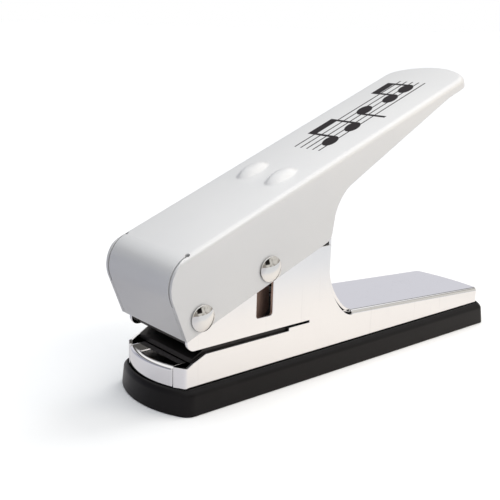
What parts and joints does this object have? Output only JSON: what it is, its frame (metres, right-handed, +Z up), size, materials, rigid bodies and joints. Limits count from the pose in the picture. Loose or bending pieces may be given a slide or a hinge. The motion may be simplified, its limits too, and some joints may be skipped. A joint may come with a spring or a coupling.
{
  "type": "guitar pick punch",
  "caption": "Hand press that punches guitar picks from plastic cards: a folded lever drives a pick-shaped punch down through a die in a chromed body on a black tray.",
  "frame": {"origin": "on the table, under the middle of the press's bounding box", "axes": "+X towards the lever's free end, -X towards the card throat, +Z up, symmetric about Y = 0"},
  "size_m": [0.1597, 0.0396, 0.1016],
  "materials": {
    "black_base": "satin black moulded plastic",
    "chrome": "mirror chrome on folded steel",
    "silver_paint": "light silver grey satin paint",
    "rivet": "polished domes",
    "tool_steel": "ground",
    "zinc_steel": "zinc plated",
    "spring_steel": "drawn wire",
    "bronze": "sintered bronze",
    "nylon": "natural nylon"
  },
  "bodies": {
    "base": {"base_tray": "black_base", "frame_shell": "chrome", "front_apron": "chrome", "die_plate": "tool_steel", "card_stop": "zinc_steel", "stripper_plate": "zinc_steel", "jaw_rivet_near": "zinc_steel", "jaw_rivet_far": "zinc_steel", "guide_post_front": "zinc_steel", "guide_post_rear": "zinc_steel", "post_clip_front": "spring_steel", "post_clip_rear": "spring_steel", "return_spring_front": "spring_steel", "return_spring_rear": "spring_steel", "pivot_bush_near": "bronze", "pivot_bush_far": "bronze", "pick_chute": "black_base", "tray_screw_1": "zinc_steel", "tray_screw_2": "zinc_steel", "tray_screw_3": "zinc_steel", "tray_screw_4": "zinc_steel"},
    "lever": {"handle_shell": "silver_paint", "pivot_pin": "rivet", "pivot_pin_cap": "rivet", "pivot_spacer": "zinc_steel"},
    "ram": {"punch": "tool_steel", "crosshead": "zinc_steel", "punch_screw_front": "zinc_steel", "punch_screw_rear": "zinc_steel", "drive_pin": "rivet", "drive_pin_cap": "rivet", "slide_bush_near": "nylon", "slide_bush_far": "nylon"}
  },
  "joints": [
    {"name": "lever_hinge", "type": "hinge", "parent": "base", "child": "lever", "pos_m": [-0.068, 0, 0.0311], "axis": [0, 1, 0], "range_deg": [0, 24]},
    {"name": "ram_slide", "type": "slide", "parent": "base", "child": "ram", "axis": [0, 0, -1], "range_m": [0, 0.0118], "stiffness_N_per_m": 3000, "springref_m": -0.005, "deforming": ["return_spring_front", "return_spring_rear"]}
  ],
  "couplings": [
    {"joint": "ram_slide", "follows": "lever_hinge", "m_per_rad": 0.028}
  ]
}
